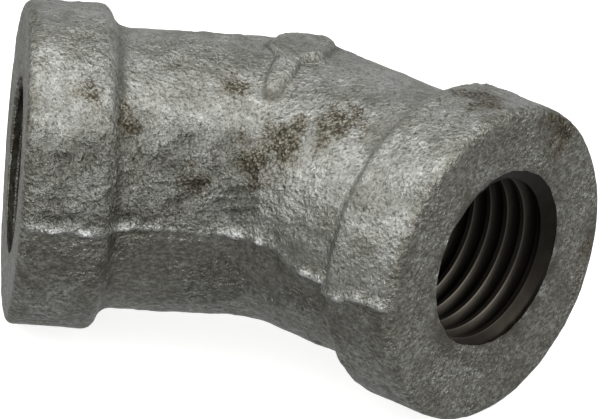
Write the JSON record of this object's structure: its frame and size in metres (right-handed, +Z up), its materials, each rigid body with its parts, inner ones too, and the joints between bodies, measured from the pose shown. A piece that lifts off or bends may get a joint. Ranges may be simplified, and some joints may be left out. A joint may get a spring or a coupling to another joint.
{
  "type": "pipe elbow",
  "caption": "Galvanised malleable iron 45 degree elbow with round bands and a female taper pipe thread in each end.",
  "frame": {"origin": "on the bench that the elbow lies on, under the middle of its box", "axes": "+Z up, square to the plane of the bend; +X along the elbow's length, from one port to the other; +Y towards the outside (heel) of the bend"},
  "size_m": [0.0422, 0.0266, 0.022],
  "materials": {
    "galvanised_iron": "hot-dip zinc over rough malleable iron: dull grey with bright flecks and dark rusty pits, bare cut iron in the threads"
  },
  "bodies": {
    "root": {"elbow_casting": "galvanised_iron"}
  },
  "joints": []
}
